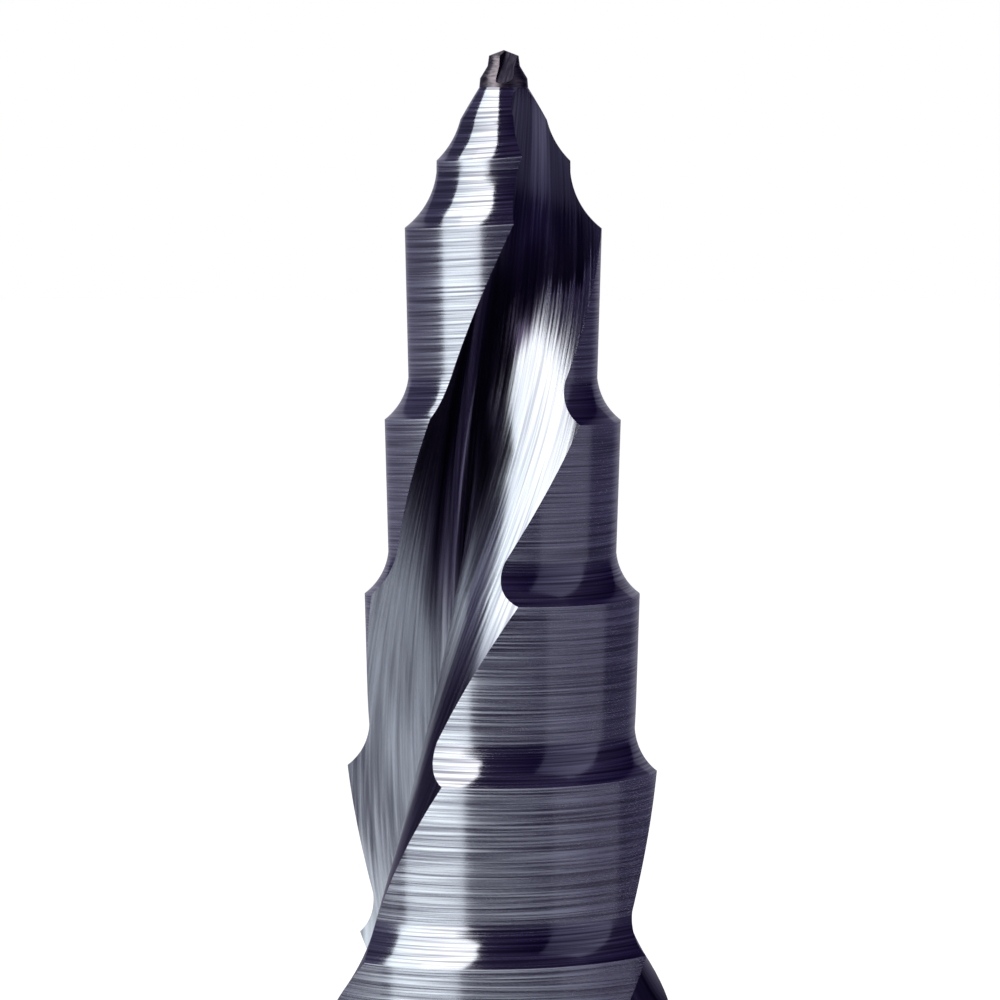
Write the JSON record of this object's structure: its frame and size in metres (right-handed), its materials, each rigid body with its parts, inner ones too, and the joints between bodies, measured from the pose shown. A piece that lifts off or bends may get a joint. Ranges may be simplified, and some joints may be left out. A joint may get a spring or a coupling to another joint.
{
  "type": "step drill bit",
  "caption": "Steel step drill bit: round shank, relieved steps of growing diameter with smooth coves above each shoulder, spiral flutes and a split point.",
  "frame": {"origin": "centre of the shank's flat end face", "axes": "+Z along the tool's axis, from the shank's end to the cutting point; +X to the picture's right and -Y towards its camera, so the lip of the first full step lies 6 degrees round from -Y towards +X"},
  "size_m": [0.009, 0.009, 0.0516],
  "materials": {
    "step_drill": "ground and polished, with fine turning lines on the lands and streaks along the flutes"
  },
  "bodies": {
    "root": {"step_drill": "step_drill"}
  },
  "joints": []
}
